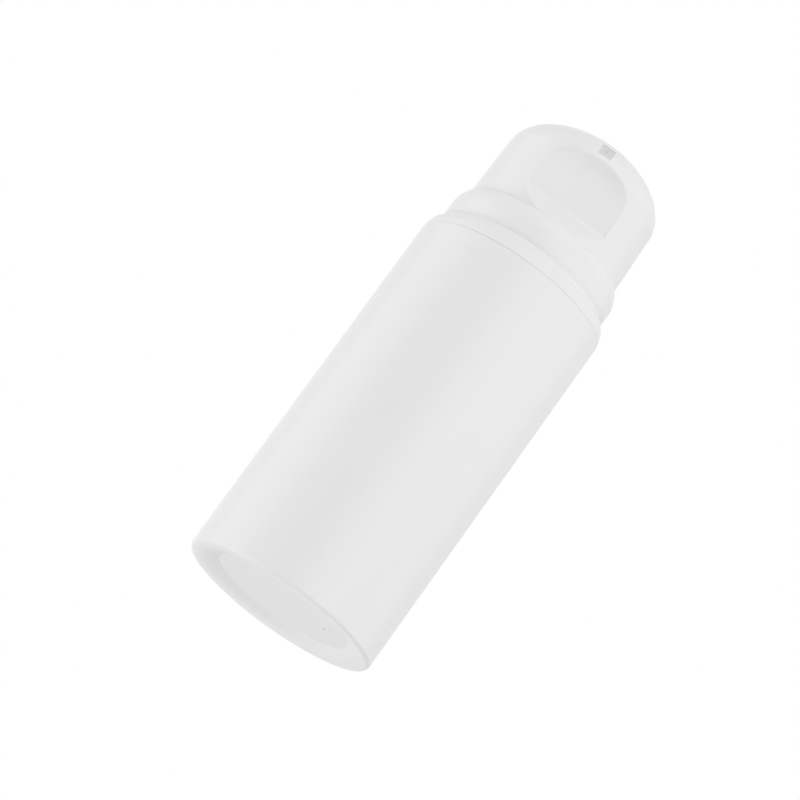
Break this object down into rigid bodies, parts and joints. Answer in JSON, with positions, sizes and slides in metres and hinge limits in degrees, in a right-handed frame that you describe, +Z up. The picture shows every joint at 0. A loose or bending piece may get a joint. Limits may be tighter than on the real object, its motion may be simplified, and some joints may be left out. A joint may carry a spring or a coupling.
{
  "type": "airless pump bottle",
  "caption": "Slim straight airless pump bottle with a domed press actuator, flat thumb recess below the nozzle, snap collar, sloped shoulder ring and a dished base with a vent hole.",
  "frame": {"origin": "centre of the base rim, on the plane that the bottle stands on", "axes": "+Z up along the bottle's axis, -Y the way the nozzle faces, +X to the right seen from the nozzle's side"},
  "size_m": [0.04, 0.04, 0.1096],
  "materials": {
    "white_shell": "satin moulded polypropylene",
    "white_container": "satin moulded polypropylene",
    "seal_foam": "closed-cell polyethylene foam",
    "natural_pump": "natural polypropylene",
    "nozzle_grey": "satin moulded polypropylene",
    "soft_piston": "moulded polyethylene",
    "spring_steel": "drawn stainless wire",
    "ball_steel": "ground stainless steel"
  },
  "bodies": {
    "bottle": {"outer_sleeve": "white_shell", "inner_container": "white_container", "shoulder_ring": "white_shell", "collar": "white_shell", "deck_gasket": "seal_foam", "pump_body": "natural_pump", "ball_cage": "natural_pump", "pump_retainer": "natural_pump", "return_spring": "spring_steel"},
    "actuator": {"actuator_shell": "white_shell", "spout_core": "natural_pump", "nozzle_insert": "nozzle_grey", "stem": "natural_pump", "piston_rod": "natural_pump"},
    "dosing_piston": {"dosing_piston": "soft_piston"},
    "follower_piston": {"follower_piston": "soft_piston"},
    "inlet_ball": {"inlet_ball": "ball_steel"}
  },
  "joints": [
    {"name": "actuator_press", "type": "slide", "parent": "bottle", "child": "actuator", "axis": [0, 0, -1], "range_m": [0, 0.004], "stiffness_N_per_m": 2000, "springref_m": -0.004, "deforming": ["return_spring"]},
    {"name": "dosing_piston_slide", "type": "slide", "parent": "bottle", "child": "dosing_piston", "axis": [0, 0, -1], "range_m": [0, 0.0032]},
    {"name": "follower_rise", "type": "slide", "parent": "bottle", "child": "follower_piston", "axis": [0, 0, 1], "range_m": [0, 0.0565]},
    {"name": "inlet_ball_lift", "type": "slide", "parent": "bottle", "child": "inlet_ball", "axis": [0, 0, 1], "range_m": [0, 0.0008]}
  ],
  "couplings": [
    {"joint": "dosing_piston_slide", "follows": "actuator_press", "ratio": 0.8}
  ]
}
